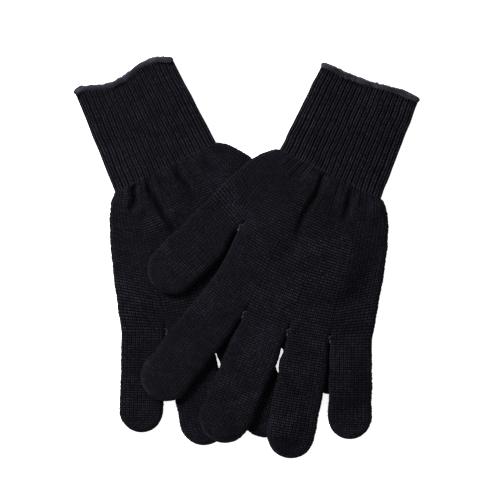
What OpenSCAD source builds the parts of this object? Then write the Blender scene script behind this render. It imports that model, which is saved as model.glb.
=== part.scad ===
// A pair of knitted touchscreen gloves lying flat, the left glove on top of the right one.
// Millimetres. +Z is up, the cuffs point to +Y and the fingertips to -Y.
// The origin is on the surface that the pair lies on, in the middle of the pair's outline.
//
// Each glove is drawn once, as a left glove in its own frame: the origin is at the middle of
// the wrist line, the thumb lies to -X and the little finger hangs straight down along -Y.
// The right glove is its mirror image and lies flat. The left glove is draped over it, so
// every height on the left glove is raised by drape(), a function of the place.

/* [Fabric] */
// Thickness of the knitted fabric
wall = 1.3; // [1.1:0.1:1.4]
// Thickness of a hand or finger lying flat: two layers and the air between them
flat_t = 7; // [6.8:0.1:7.4]
// Thickness of a cuff lying flat
cuff_t = 8; // [7.8:0.1:8.6]

/* [Cuff] */
// Width of the cuff where it meets the hand
wrist_w = 70; // [66:1:74]
// Width of the cuff at its mouth
mouth_w = 64; // [60:1:70]
// Length of the cuff, its edging included
cuff_len = 63; // [50:1:70]
// Width of the overlocked edging round the mouth
edging_w = 3; // [2.5:0.1:4]
// Rows of elastic yarn inside each cuff
elastic_rows = 8; // [4:1:10]

/* [Fingers] */
// Length of the thumb from its crotch
thumb_len = 63; // [56:1:66]
// Length of the index finger from its crotch
index_len = 75; // [68:1:78]
// Length of the middle finger from its crotch
middle_len = 79; // [72:1:82]
// Length of the ring finger from its crotch
ring_len = 77; // [70:1:80]
// Length of the little finger from its crotch
little_len = 62; // [54:1:64]
// Length of the conductive fingertips
touch_len = 17; // [14:1:20]

/* [Pair] */
// How far the left glove's surface rises to pass over the right glove
lift = 8.4; // [7.6:0.1:9]
// Distance over which the left glove comes down to the surface beside the right glove
reach = 18; // [16:1:24]

/* [Hidden] */

knit_colour = [0.09, 0.09, 0.11];
touch_colour = [0.12, 0.12, 0.14];
edging_colour = [0.13, 0.13, 0.19];
elastic_colour = [0.05, 0.05, 0.06];
stitch_colour = [0.16, 0.16, 0.20];

LEFT = 0;
RIGHT = 1;
// Where each glove's wrist lies. The right glove's place is mirrored in X.
wrist_at = [[51.8, 52.2], [50.6, 56.4]];

// The hand's outline. The wrist line and the finger roots are open, the rest is a folded edge.
wrist_tilt = -26;
wrist_thumb = [-wrist_w / 2 * cos(wrist_tilt), -wrist_w / 2 * sin(wrist_tilt)];
wrist_little = -wrist_thumb;
thumb_bulge = [-46, 17];
thumb_root = [-74.8, -15];
thumb_crotch = [-56.5, -33.5];
index_root = [-76.8, -69.8];
index_crotch = [-54, -87.4];
middle_crotch = [-26.7, -98.6];
ring_crotch = [-0.4, -102.9];
// The right glove's little finger stands out a little further.
little_root = [[26, -102.9], [27.4, -102.9]];
little_bulge = [[[41.4, -26], [34, -60]], [[38.2, -26], [34, -60]]];
function roots(side) = [little_root[side], ring_crotch, middle_crotch, index_crotch, index_root];

// Each finger: its root's corner on the little finger's side and on the thumb's side, the angle
// that it leans towards the thumb, its half widths on those two sides, and its length.
THUMB = 0;
INDEX = 1;
MIDDLE = 2;
RING = 3;
LITTLE = 4;
function fingers(side) = [
    [thumb_crotch, thumb_root, 45.6, 18, 13.2, thumb_len],
    [index_crotch, index_root, 38, 15.6, 15.4, index_len],
    [middle_crotch, index_crotch, 23.3 - lean_in[side][MIDDLE], 16, 16, middle_len],
    [ring_crotch, middle_crotch, 10.2, 15, 15, ring_len - shorter[side][RING]],
    [little_root[side], ring_crotch, 1 - lean_in[side][LITTLE], 13.8, 13.6, little_len],
];
// The right glove's fingers are less spread, and its ring finger lies a little crumpled.
lean_in = [[0, 0, 0, 0, 0], [0, 0, 3, 0, 2.6]];
shorter = [[0, 0, 0, 0, 0], [0, 0, 0, 4, 0]];

// A folded edge: how far from the outline each column lies, and how thick the glove is there.
edge_steps = [0, 1.1, 3.2];
edge_share = [0.6, 0.88, 1];
// A fingertip: the angles of its rounded rows, and how thick the glove is on each.
tip_turns = [0, 14, 30, 50, 68, 80];
tip_share = [1, 1, 1, 0.95, 0.82, 0.6];
root_gap = 0.6;
// Steps along a finger, from where it has its full width to its tip. The left glove's fingers
// bend over the right one's, so they have more.
finger_steps = [6, 2];
bulge_len = 22;
// Distance inside the right glove's outline at which the left glove lies at its full height
bed = 2;
// The mouth's line leans less than the wrist's, and its two ends stand out differently.
mouth_tilt = [-20, -19];
cuff_lean = [23.6, 24.6];
// The mouth isn't straight: [how far it stands out, how far it waves, where the wave starts].
mouth_wave = [[0.1, -1, -0.17], [0.9, 3.1, 0.17]];
edging_gap = 0.25;
elastic_w = 1.2;
elastic_t = 0.35;
stitch_r = 1;
stitch_inset = 2.4;
stitch_slack = 0.7;

function lerp(a, b, t) = a + (b - a) * t;
function clamp(t) = max(0, min(1, t));
function smooth(t) = clamp(t) * clamp(t) * (3 - 2 * clamp(t));
// Like smooth(), but with the same bend all the way: the gentlest curve for a draped fabric.
function sag(t) = clamp(t) < 0.5 ? 2 * clamp(t) * clamp(t) : 1 - 2 * (1 - clamp(t)) * (1 - clamp(t));
function bez2(a, b, c, t) = lerp(lerp(a, b, t), lerp(b, c, t), t);
function bez3(a, b, c, d, t) = lerp(bez2(a, b, c, t), bez2(b, c, d, t), t);

// --- Distances, for the drape ---------------------------------------------------------------

function segment_distance(p, a, b) =
    let (ab = b - a, t = clamp((p - a) * ab / (ab * ab))) norm(p - a - t * ab);
function crosses(p, a, b) =
    (a.y > p.y) != (b.y > p.y) && p.x < lerp(a.x, b.x, (p.y - a.y) / (b.y - a.y));
function polygon_distance(p, poly) =
    let (
        n = len(poly),
        near = min([for (k = [0:n - 1]) segment_distance(p, poly[k], poly[(k + 1) % n])]),
        hits = len([for (k = [0:n - 1]) if (crosses(p, poly[k], poly[(k + 1) % n])) 1])
    )
    hits % 2 == 1 ? -near : near;

function little_side(side, v) =
    bez3(wrist_little, little_bulge[side][0], little_bulge[side][1], little_root[side], v);
hand_outline = concat(
    [for (t = [0:0.2:1]) bez2(wrist_thumb, thumb_bulge, thumb_root, t)],
    [thumb_crotch, index_root, index_crotch, middle_crotch, ring_crotch],
    [for (t = [1:-0.2:0]) little_side(RIGHT, t)]
);

function direction(f) = [-sin(f[2]), -cos(f[2])];
function across(f) = [-cos(f[2]), sin(f[2])];
function root_middle(f) = (f[0] + f[1]) / 2;
function tip_radius(f) = (f[3] + f[4]) / 2;
// A finger's distance in its glove's frame: that of a round-ended bar.
function finger_distance(p, f) =
    let (
        r = tip_radius(f),
        base = root_middle(f) + across(f) * (f[4] - f[3]) / 2
    )
    segment_distance(p, base, base + direction(f) * (f[5] - r)) - r;
function right_glove_distance(p) =
    let (q = [-p.x, p.y] - wrist_at[RIGHT])
    min(polygon_distance(q, hand_outline), min([for (f = fingers(RIGHT)) finger_distance(q, f)]));

// The height that the left glove's underside has at p, a point in its own frame.
function drape(side, p) =
    side == RIGHT ? 0 : lift * sag((reach - right_glove_distance(p + wrist_at[LEFT])) / (reach + bed));

// --- Knitted shells -------------------------------------------------------------------------
// A shell is a flattened tube given on a grid. The columns i run from the little finger's side
// to the thumb's side, and the rows j from the open end outwards. outer and inner are the grids
// of places, mid is the grid of heights of the middle plane, and half of the half thicknesses.
// ends says whether the first and last row are open. side_open = [j, j] is an opening in the
// thumb's side.

function walk(m, n) = concat(
    [for (i = [0:n - 1]) [0, i]],
    [for (j = [0:m - 1]) [j, n]],
    [for (i = [n:-1:1]) [m, i]],
    [for (j = [m:-1:1]) [j, 0]]
);
function is_open(a, b, m, n, ends, side_open) =
    a[0] == 0 && b[0] == 0 ? ends[0]
    : a[0] == m && b[0] == m ? ends[1]
    : a[1] == n && b[1] == n && min(a[0], b[0]) >= side_open[0] && max(a[0], b[0]) <= side_open[1];
function split(quads) = [for (q = quads) each [[q[2], q[1], q[0]], [q[3], q[2], q[0]]]];

module shell(outer, inner, mid, half, ends = [true, false], side_open = [1, 0], skin = wall) {
    m = len(outer) - 1;
    n = len(outer[0]) - 1;
    heights = [
        function (j, i) mid[j][i] + half[j][i],
        function (j, i) mid[j][i] - half[j][i],
        function (j, i) mid[j][i] + half[j][i] - skin,
        function (j, i) mid[j][i] - half[j][i] + skin
    ];
    points = [
        for (k = [0:3], j = [0:m], i = [0:n])
            let (place = k < 2 ? outer[j][i] : inner[j][i]) [place.x, place.y, heights[k](j, i)]
    ];
    function id(k, v) = (k * (m + 1) + v[0]) * (n + 1) + v[1];
    function cell(k, j, i) = [id(k, [j, i]), id(k, [j, i + 1]), id(k, [j + 1, i + 1]), id(k, [j + 1, i])];
    function back(q) = [q[3], q[2], q[1], q[0]];
    skins = [
        for (j = [0:m - 1], i = [0:n - 1])
            each [cell(0, j, i), back(cell(1, j, i)), back(cell(2, j, i)), cell(3, j, i)]
    ];
    rim = walk(m, n);
    count = len(rim);
    opens = [for (k = [0:count - 1]) is_open(rim[k], rim[(k + 1) % count], m, n, ends, side_open)];
    edges = [
        for (k = [0:count - 1])
            let (a = rim[k], b = rim[(k + 1) % count])
            each opens[k]
                ? [[id(2, a), id(2, b), id(0, b), id(0, a)], [id(1, a), id(1, b), id(3, b), id(3, a)]]
                : [[id(1, a), id(1, b), id(0, b), id(0, a)], [id(3, a), id(2, a), id(2, b), id(3, b)]]
    ];
    corners = [
        for (k = [0:count - 1])
            let (p = rim[k], before = opens[(k + count - 1) % count])
            if (before != opens[k])
                before
                    ? [id(0, p), id(2, p), id(3, p), id(1, p)]
                    : [id(0, p), id(1, p), id(3, p), id(2, p)]
    ];
    polyhedron(points, split(concat(skins, edges, corners)), convexity = 8);
}

// Columns across a width: close together at the two folded edges, as distances from the middle.
function columns(little_half, thumb_half) =
    let (steps = len(edge_steps) - 1, squeeze = min(1, (little_half + thumb_half) / 5 / edge_steps[steps]))
    concat(
        [for (k = [0:steps]) edge_steps[k] * squeeze - little_half],
        [for (t = [0.25, 0.5, 0.75]) lerp(-little_half, thumb_half, t)],
        [for (k = [steps:-1:0]) thumb_half - edge_steps[k] * squeeze]
    );
column_share = concat(edge_share, [1, 1, 1], [for (k = [len(edge_share) - 1:-1:0]) edge_share[k]]);

// --- Fingers --------------------------------------------------------------------------------

// Rows along a finger: [distance from the root, share of the half width, share of the thickness].
function finger_rows(f, side) =
    let (r = tip_radius(f), straight = f[5] - r, tip_from = f[5] - touch_len, n = finger_steps[side])
    concat(
        [for (s = [root_gap, 6, 13]) [s, 1, 1]],
        [for (k = [0:n - 1]) [lerp(22, tip_from, k / n), 1, 1]],
        [for (k = [0:len(tip_turns) - 1])
            [
                k == 0 ? tip_from : straight + r * sin(tip_turns[k]),
                k == 0 ? 1 : cos(tip_turns[k]),
                tip_share[k]
            ]]
    );
function tip_row(side) = 3 + finger_steps[side];

function finger_grid(f, rows, inset) =
    let (root_half = norm(f[0] - f[1]) / 2 - root_gap / 2)
    [
        for (row = rows)
            let (
                swell = smooth(row[0] / bulge_len),
                s = row[0] - inset * (1 - row[1]),
                little_half = lerp(root_half, f[3], swell) * row[1] - inset * row[1],
                thumb_half = lerp(root_half, f[4], swell) * row[1] - inset * row[1],
                middle = root_middle(f) + across(f) * (f[4] - f[3]) / 2 * swell * (1 - row[1])
            )
            [for (c = columns(little_half, thumb_half)) middle + direction(f) * s + across(f) * c]
    ];

module finger_part(side, which, from_row, to_row, tip) {
    f = fingers(side)[which];
    rows = finger_rows(f, side);
    used = [for (j = [from_row:to_row == 0 ? len(rows) - 1 : to_row]) rows[j]];
    outer = finger_grid(f, used, 0);
    inner = finger_grid(f, used, wall);
    mid = [for (row = outer) [for (p = row) drape(side, p) + flat_t / 2]];
    half = [for (row = used) [for (share = column_share) flat_t / 2 * min(share, row[2])]];
    shell(outer, inner, mid, half, ends = [true, !tip]);
}

module finger(side, which) {
    color(knit_colour) finger_part(side, which, 0, 0, true);
}

module finger_tube(side, which) {
    color(knit_colour) finger_part(side, which, 0, tip_row(side), false);
}

module touch_tip(side, which) {
    color(touch_colour) finger_part(side, which, tip_row(side), 0, true);
}

// --- Hand -----------------------------------------------------------------------------------

// Rows from the wrist to the roots: how far along the thumb's side and the little finger's side.
hand_thumb_rows = [0, 0.17, 0.34, 0.51, 0.68, 0.84, 1, 1.12, 1.5, 1.88, 2, 2.17, 2.34, 2.51, 2.68, 2.84, 3];
hand_little_rows = concat(
    [0, 0.04, 0.09, 0.13, 0.17, 0.21, 0.25],
    [0.27, 0.34, 0.41, 0.44],
    [0.53, 0.62, 0.71, 0.81, 0.9, 1]
);
thumb_opening = [6, 10];
hand_columns = [0, 0.012, 0.035, 0.09, 0.16, 0.237, 0.32, 0.4, 0.476, 0.565, 0.655, 0.741, 0.85, 0.965, 0.988, 1];
hand_share = concat(edge_share, [for (k = [4:13]) 1], [for (k = [2:-1:0]) edge_share[k]]);

function thumb_side(v) =
    v <= 1 ? bez2(wrist_thumb, thumb_bulge, thumb_root, v)
    : v <= 2 ? lerp(thumb_root, thumb_crotch, v - 1)
    : lerp(thumb_crotch, index_root, v - 2);
// The columns that end at the little finger's outer side, the three crotches and the index's side.
root_columns = [0, 5, 8, 11, 15];
function root_line(side, i) =
    let (
        k = len([for (c = [1:3]) if (i >= root_columns[c]) 1]),
        a = hand_columns[root_columns[k]],
        b = hand_columns[root_columns[k + 1]]
    )
    lerp(roots(side)[k], roots(side)[k + 1], (hand_columns[i] - a) / (b - a));

// The rows between the two ends of the thumb's opening.
function is_in_opening(j) = j > thumb_opening[0] && j < thumb_opening[1];
function hand_grid(side, inset) = [
    for (j = [0:len(hand_thumb_rows) - 1])
        let (
            a = little_side(side, hand_little_rows[j]),
            b = thumb_side(hand_thumb_rows[j]),
            unit = (b - a) / norm(b - a),
            low = a + unit * inset,
            high = b - unit * (is_in_opening(j) ? 0 : inset),
            pull = smooth(hand_thumb_rows[j] - 2)
        )
        [
            for (i = [0:len(hand_columns) - 1])
                let (u = hand_columns[i])
                lerp(low, high, u) + (root_line(side, i) - lerp(little_root[side], index_root, u)) * pull
        ]
];

module hand(side) {
    outer = hand_grid(side, 0);
    inner = hand_grid(side, wall);
    // The hand is as thick as the cuff at the wrist, and thins towards the fingers.
    thick = [for (v = hand_thumb_rows) lerp(cuff_t, flat_t, smooth(v))];
    mid = [for (j = [0:len(outer) - 1]) [for (p = outer[j]) drape(side, p) + thick[j] / 2]];
    last = len(hand_share) - 1;
    half = [
        for (j = [0:len(outer) - 1])
            [
                for (i = [0:last])
                    thick[j] / 2 * (i > last - 3 && is_in_opening(j) ? 1 : hand_share[i])
            ]
    ];
    color(knit_colour) shell(outer, inner, mid, half, ends = [true, true], side_open = thumb_opening);
}

// One closing stitch in each crotch ties the two layers together between two fingers.
module crotch_stitches(side) {
    for (crotch = [[thumb_crotch, -35], [index_crotch, -30], [middle_crotch, -16], [ring_crotch, -5]]) {
        p = crotch[0] - stitch_inset * [sin(crotch[1]), -cos(crotch[1])];
        color(stitch_colour)
            translate([p.x, p.y, drape(side, p) + wall + stitch_slack])
                cylinder(r = stitch_r, h = flat_t - 2 * (wall + stitch_slack), $fn = 24);
    }
}

// --- Cuff -----------------------------------------------------------------------------------

// The middle of the mouth and its two ends, as seen from the wrist line.
function cuff_axis(side) = [sin(cuff_lean[side]), cos(cuff_lean[side])] * cuff_len;
function wave(side, u) =
    let (w = mouth_wave[side]) (w[0] + w[1] * sin(200 * (u - w[2]))) * (1 - pow(abs(u), 8));
function mouth_end(side) = mouth_w / 2 * [-cos(mouth_tilt[side]), -sin(mouth_tilt[side])];
function cuff_grid(side, distances, inset) = [
    for (s = distances)
        let (
            t = s / cuff_len,
            middle = cuff_axis(side) * t,
            end = lerp(wrist_thumb, mouth_end(side), t),
            unit = end / norm(end)
        )
        [
            for (c = columns(norm(end) - inset, norm(end) - inset))
                middle + unit * c + cuff_axis(side) / cuff_len * wave(side, c / norm(end)) * t
        ]
];

// A band of the cuff between two or more distances from the wrist. rise lifts its underside.
module cuff_band(side, distances, thick, skin, inset = 0, rise = 0) {
    // Rows run towards the wrist, so that the shell's faces look outwards.
    order = [for (k = [len(distances) - 1:-1:0]) distances[k]];
    outer = cuff_grid(side, order, inset);
    inner = cuff_grid(side, order, inset + skin);
    mid = [for (row = outer) [for (p = row) rise + thick / 2]];
    half = [for (row = outer) [for (share = column_share) thick / 2 * share]];
    shell(outer, inner, mid, half, ends = [true, true], skin = skin);
}

module cuff(side) {
    color(knit_colour)
        cuff_band(side, [root_gap, 15, 30, 45, cuff_len - edging_w - edging_gap], cuff_t, wall);
}

module cuff_edging(side) {
    color(edging_colour)
        cuff_band(side, [cuff_len - edging_w, cuff_len - edging_w / 2, cuff_len], cuff_t, wall);
}

module cuff_elastic(side) {
    gap = (cuff_len - edging_w - root_gap) / (elastic_rows + 1);
    clearance = wall + 0.05;
    for (k = [1:elastic_rows])
        color(elastic_colour)
            cuff_band(
                side, [root_gap + k * gap, root_gap + k * gap + elastic_w],
                cuff_t - 2 * clearance, elastic_t, inset = clearance + 0.6, rise = clearance
            );
}

// --- The pair -------------------------------------------------------------------------------

module place(side) {
    at = wrist_at[side];
    if (side == LEFT)
        translate([at.x, at.y, 0]) children();
    else
        mirror([1, 0, 0]) translate([at.x, at.y, 0]) children();
}

place(LEFT) hand(LEFT);  // left_hand
place(LEFT) crotch_stitches(LEFT);  // left_crotch_stitches
place(LEFT) finger_tube(LEFT, THUMB);  // left_thumb
place(LEFT) touch_tip(LEFT, THUMB);  // left_thumb_touch_tip
place(LEFT) finger_tube(LEFT, INDEX);  // left_index_finger
place(LEFT) touch_tip(LEFT, INDEX);  // left_index_touch_tip
place(LEFT) finger(LEFT, MIDDLE);  // left_middle_finger
place(LEFT) finger(LEFT, RING);  // left_ring_finger
place(LEFT) finger(LEFT, LITTLE);  // left_little_finger
place(LEFT) cuff(LEFT);  // left_cuff
place(LEFT) cuff_edging(LEFT);  // left_cuff_edging
place(LEFT) cuff_elastic(LEFT);  // left_cuff_elastic
place(RIGHT) hand(RIGHT);  // right_hand
place(RIGHT) crotch_stitches(RIGHT);  // right_crotch_stitches
place(RIGHT) finger_tube(RIGHT, THUMB);  // right_thumb
place(RIGHT) touch_tip(RIGHT, THUMB);  // right_thumb_touch_tip
place(RIGHT) finger_tube(RIGHT, INDEX);  // right_index_finger
place(RIGHT) touch_tip(RIGHT, INDEX);  // right_index_touch_tip
place(RIGHT) finger(RIGHT, MIDDLE);  // right_middle_finger
place(RIGHT) finger(RIGHT, RING);  // right_ring_finger
place(RIGHT) finger(RIGHT, LITTLE);  // right_little_finger
place(RIGHT) cuff(RIGHT);  // right_cuff
place(RIGHT) cuff_edging(RIGHT);  // right_cuff_edging
place(RIGHT) cuff_elastic(RIGHT);  // right_cuff_elastic
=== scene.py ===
"""Looks for a pair of knitted gloves lying flat, the left glove across the right one.

Every glove is knitted here as grids of stitches: the columns follow the wales and the rows the
courses, so that the relief, the colour and the outline all come from the same stitches. Lengths in
the glove's own frame are in millimetres, as in part.scad, and become metres when a mesh is made.
"""

import math

import bpy
import numpy as np
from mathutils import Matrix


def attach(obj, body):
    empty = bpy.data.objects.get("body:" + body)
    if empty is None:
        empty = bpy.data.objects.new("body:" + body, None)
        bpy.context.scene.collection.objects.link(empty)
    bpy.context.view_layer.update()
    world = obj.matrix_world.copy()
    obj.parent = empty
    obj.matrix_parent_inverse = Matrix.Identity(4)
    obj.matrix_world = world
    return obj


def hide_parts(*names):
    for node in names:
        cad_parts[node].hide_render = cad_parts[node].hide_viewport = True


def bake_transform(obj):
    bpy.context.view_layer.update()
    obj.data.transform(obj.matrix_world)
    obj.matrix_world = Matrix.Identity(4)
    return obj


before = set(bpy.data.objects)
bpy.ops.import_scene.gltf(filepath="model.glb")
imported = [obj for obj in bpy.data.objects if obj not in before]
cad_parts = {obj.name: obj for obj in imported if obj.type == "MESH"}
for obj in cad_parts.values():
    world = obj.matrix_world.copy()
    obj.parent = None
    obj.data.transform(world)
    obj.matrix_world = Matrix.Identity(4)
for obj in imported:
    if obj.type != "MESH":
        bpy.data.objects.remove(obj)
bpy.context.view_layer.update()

LEFT, RIGHT = 0, 1
SIDES = ("left", "right")

# --- The gloves' measurements, in millimetres and degrees -------------------------------------

FLAT_T, CUFF_T = 7.0, 8.0
WRIST_W, MOUTH_W, CUFF_LEN, EDGING_W = 70.0, 64.0, 63.0, 3.0
# The left glove is drawn 0.7 mm lower than the CAD one, so that it rests on the right glove.
LIFT, REACH, BED = 7.7, 18.0, 2.0
EDGE_R = 3.6  # how far in from its outline a flat tube is rounded
SKIN = 0.2  # how far the knitting stays inside the CAD solid's faces
RISE = 0.15  # how far stitches may stand out past those faces
UNDER_RISE = SKIN * 0.6  # and those of the underside, which stay inside them
JOIN = 3.0  # how far from the next piece the stitches begin to turn straight up
WRIST_RIB = 1.0  # depth of the ribs where the cuff meets the hand
STITCH_RISE = 0.46  # depth of the stitches of an ordinary wale
WALE = 2.2  # width of such a wale
TOUCH_LEN = 17.0
ELASTIC_ROWS = 8
WRIST_AT = np.array([[51.8, 52.2], [50.6, 56.4]])
WRIST_TILT = math.radians(-26)
WRIST_THUMB = WRIST_W / 2 * np.array([-math.cos(WRIST_TILT), -math.sin(WRIST_TILT)])
WRIST_LITTLE = -WRIST_THUMB
MOUTH_TILT = (-20.0, -19.0)
CUFF_LEAN = (23.6, 24.6)
MOUTH_WAVE = ((0.1, -1.0, -0.17), (0.9, 3.1, 0.17))

THUMB_BULGE = np.array([-46.0, 17.0])
THUMB_ROOT = np.array([-74.8, -15.0])
THUMB_CROTCH = np.array([-56.5, -33.5])
INDEX_ROOT = np.array([-76.8, -69.8])
INDEX_CROTCH = np.array([-54.0, -87.4])
MIDDLE_CROTCH = np.array([-26.7, -98.6])
RING_CROTCH = np.array([-0.4, -102.9])
# The crotches beside these fingers, and how many degrees each points towards the thumb.
CROTCHES = {"ring": (RING_CROTCH, 5.6), "middle": (MIDDLE_CROTCH, 16.8), "index": (INDEX_CROTCH, 30.6)}
LITTLE_ROOT = (np.array([26.0, -102.9]), np.array([27.4, -102.9]))
LITTLE_BULGE = (
    (np.array([41.4, -26.0]), np.array([34.0, -60.0])),
    (np.array([38.2, -26.0]), np.array([34.0, -60.0])),
)


def fingers(side):
    """Each finger: its root's two corners, how many degrees it leans towards the thumb, its half
    widths on the little finger's side and on the thumb's side, and its length."""
    right = side == RIGHT
    return {
        "little": (LITTLE_ROOT[side], RING_CROTCH, -1.6 if right else 1.0, 13.8, 13.6, 62.0),
        "ring": (RING_CROTCH, MIDDLE_CROTCH, 10.2, 15.0, 15.0, 73.0 if right else 77.0),
        "middle": (MIDDLE_CROTCH, INDEX_CROTCH, 20.3 if right else 23.3, 16.0, 16.0, 79.0),
        "index": (INDEX_CROTCH, INDEX_ROOT, 38.0, 15.6, 15.4, 75.0),
        "thumb": (THUMB_CROTCH, THUMB_ROOT, 45.6, 18.0, 13.2, 63.0),
    }


# The wales on one side of the glove, in each finger's strip of the hand and in the finger itself.
# The wales that the hand lacks begin in the crotches.
ORDER = ("little", "ring", "middle", "index", "thumb")
HAND_WALES = {"little": 10, "ring": 10, "middle": 11, "index": 11, "thumb": 8}
WALES = {"little": 13, "ring": 14, "middle": 15, "index": 15, "thumb": 14}
COURSE, CUFF_COURSE = 1.58, 1.25
HAND_COURSES, CROTCH_COURSE = 60, 35
RIBS = 20
# Vertices: columns for each strip, and rows for each course.
COLUMNS = {"little": 78, "ring": 84, "middle": 90, "index": 90, "thumb": 84}
PER_COURSE = 4

# Folds in the back of the left and the right hand: points along the fold, width, depth.
FOLDS = (
    (
        (
            [(-4, 0), (-5.3, -3.8), (-7.8, -11.3), (-12.7, -19.3), (-17.1, -27.4), (-20.2, -37.9)],
            2.375, 3.105,
        ),
        ([(-20.2, -37.9), (-27, -47), (-34.4, -54.7)], 4.25, 1.08),
        ([(14, -6), (12.7, -11.9), (12.1, -16.2), (10.8, -22.4), (9, -28.6)], 2.125, 2.565),
        ([(-18, 5), (-22, 0), (-27, -5)], 4.5, 1.62),
        ([(23, -17), (22, -24), (21, -31)], 2.5, 0.945),
    ),
    (
        ([(17, -9), (19.2, -14.8), (18.4, -20.1), (21, -28)], 2.25, 3.375),
        ([(11, -8), (9.2, -14.6), (4.9, -21.4), (1.2, -28.8), (-4.4, -37.5), (-8, -44)], 2.375, 4.32),
        ([(-7, -1), (-9.7, -6.8), (-14, -12.4), (-18.4, -20.4)], 2.5, 2.835),
        ([(-22, 4), (-27, -1), (-33, -5)], 3.75, 1.215),
    ),
)


# --- Small maths ------------------------------------------------------------------------------


def smooth(t):
    """A soft step from 0 to 1."""
    t = np.clip(t, 0.0, 1.0)
    return t * t * (3 - 2 * t)


def bezier2(a, b, c, t):
    t = np.asarray(t)[..., None]
    return (1 - t) ** 2 * a + 2 * (1 - t) * t * b + t**2 * c


def bezier3(a, b, c, d, t):
    t = np.asarray(t)[..., None]
    return (1 - t) ** 3 * a + 3 * (1 - t) ** 2 * t * b + 3 * (1 - t) * t**2 * c + t**3 * d


def heading(degrees):
    """The way a finger points that leans so many degrees towards the thumb."""
    r = math.radians(degrees)
    return np.array([-math.sin(r), -math.cos(r)])


def sideways(degrees):
    """The way across such a finger, from the little finger's side to the thumb's."""
    r = math.radians(degrees)
    return np.array([-math.cos(r), math.sin(r)])


def to_pair(side, p):
    """Points of a glove's own frame in the pair's frame."""
    q = p + WRIST_AT[side]
    return q if side == LEFT else q * np.array([-1.0, 1.0])


def segment_distance(p, a, b):
    """Distance of points from the straight line between a and b."""
    ab = b - a
    t = np.clip(((p - a) @ ab) / (ab @ ab), 0, 1)
    return np.linalg.norm(p - a - t[..., None] * ab, axis=-1)


def ripple(x, y, size, seed):
    """A smooth uneven surface, from -1 to 1, with waves of about that size."""
    rng = np.random.default_rng(seed)
    out = np.zeros(np.broadcast(x, y).shape)
    for _ in range(7):
        angle, phase = rng.uniform(0, 2 * math.pi, 2)
        k = 2 * math.pi / (size * rng.uniform(0.7, 1.5))
        out = out + np.sin(k * (x * math.cos(angle) + y * math.sin(angle)) + phase)
    return out / 4.0


# --- How the left glove lies over the right one -----------------------------------------------


def right_glove_distance(p):
    """Distance outside the right glove's outline, of points in the pair's frame."""
    q = p * np.array([-1.0, 1.0]) - WRIST_AT[RIGHT]
    t = np.linspace(0, 1, 9)
    little = bezier3(WRIST_LITTLE, *LITTLE_BULGE[RIGHT], LITTLE_ROOT[RIGHT], t[::-1])
    thumb = bezier2(WRIST_THUMB, THUMB_BULGE, THUMB_ROOT, t)
    roots = [THUMB_CROTCH, INDEX_ROOT, INDEX_CROTCH, MIDDLE_CROTCH, RING_CROTCH]
    poly = np.vstack([thumb, roots, little])
    near = np.full(q.shape[:-1], 1e9)
    inside = np.zeros(q.shape[:-1], bool)
    for a, b in zip(poly, np.roll(poly, -1, axis=0)):
        near = np.minimum(near, segment_distance(q, a, b))
        if abs(b[1] - a[1]) > 1e-9:
            at = a[0] + (b[0] - a[0]) * (q[..., 1] - a[1]) / (b[1] - a[1])
            inside ^= ((a[1] > q[..., 1]) != (b[1] > q[..., 1])) & (q[..., 0] < at)
    near = np.where(inside, -near, near)
    for a, b, lean, low, high, length in fingers(RIGHT).values():
        r = (low + high) / 2
        base = (a + b) / 2 + sideways(lean) * (high - low) / 2
        bar = segment_distance(q, base, base + heading(lean) * (length - r)) - r
        near = np.minimum(near, bar)
    return near


# The drape is worked out once, on a grid over the pair.
STEP = 0.75
DRAPE_X = np.arange(-125, 125 + STEP, STEP)
DRAPE_Y = np.arange(-140, 140 + STEP, STEP)


def blur(field, reach):
    """A smoothed copy of a field on the drape's grid."""
    n = int(3 * reach / STEP)
    k = np.exp(-0.5 * (np.arange(-n, n + 1) * STEP / reach) ** 2)
    k /= k.sum()
    for axis in (0, 1):
        pad = [(n, n) if a == axis else (0, 0) for a in (0, 1)]
        padded = np.pad(field, pad, "edge")
        field = np.apply_along_axis(lambda v: np.convolve(v, k, "valid"), axis, padded)
    return field


def make_drape():
    """Height of the left glove's underside: LIFT over the right glove, down to 0 beside it."""
    grid = np.stack(np.meshgrid(DRAPE_X, DRAPE_Y, indexing="ij"), -1)
    t = np.clip((REACH - right_glove_distance(grid)) / (REACH + BED), 0, 1)
    height = LIFT * np.where(t < 0.5, 2 * t**2, 1 - 2 * (1 - t) ** 2)
    return blur(height, 1.6)


DRAPE = make_drape()


def drape(side, p):
    """Height of a glove's underside at points of its own frame."""
    if side == RIGHT:
        return np.zeros(p.shape[:-1])
    q = to_pair(side, p)
    fx = np.clip((q[..., 0] - DRAPE_X[0]) / STEP, 0, len(DRAPE_X) - 1.001)
    fy = np.clip((q[..., 1] - DRAPE_Y[0]) / STEP, 0, len(DRAPE_Y) - 1.001)
    i, j = fx.astype(int), fy.astype(int)
    u, v = fx - i, fy - j
    low = DRAPE[i, j] * (1 - u) + DRAPE[i + 1, j] * u
    high = DRAPE[i, j + 1] * (1 - u) + DRAPE[i + 1, j + 1] * u
    return low * (1 - v) + high * v


# --- Stitches ---------------------------------------------------------------------------------


def stitch_relief(u, v):
    """Height from 0 to 1 of knitted stitches: two slanting legs in every wale and course, with a
    deep gap beside each wale and a shallow one along its middle."""
    x = np.abs(np.mod(u, 1) - 0.5) * 2
    leg = np.abs(np.sin(math.pi * (v + 0.4 * x)))
    across = (1 - x**3) * (1 - 0.45 * np.exp(-((x / 0.25) ** 2)))
    return across * (0.35 + 0.65 * leg)


def rib_relief(share):
    """Height from 0 to 1 across the ribs, share being the place across the fabric."""
    x = np.abs(np.mod(share * RIBS, 1) - 0.5) * 2
    return np.sqrt(np.clip(1 - x**2.2, 0, 1)) * (1 - 0.35 * np.exp(-((x / 0.22) ** 2)))


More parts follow.
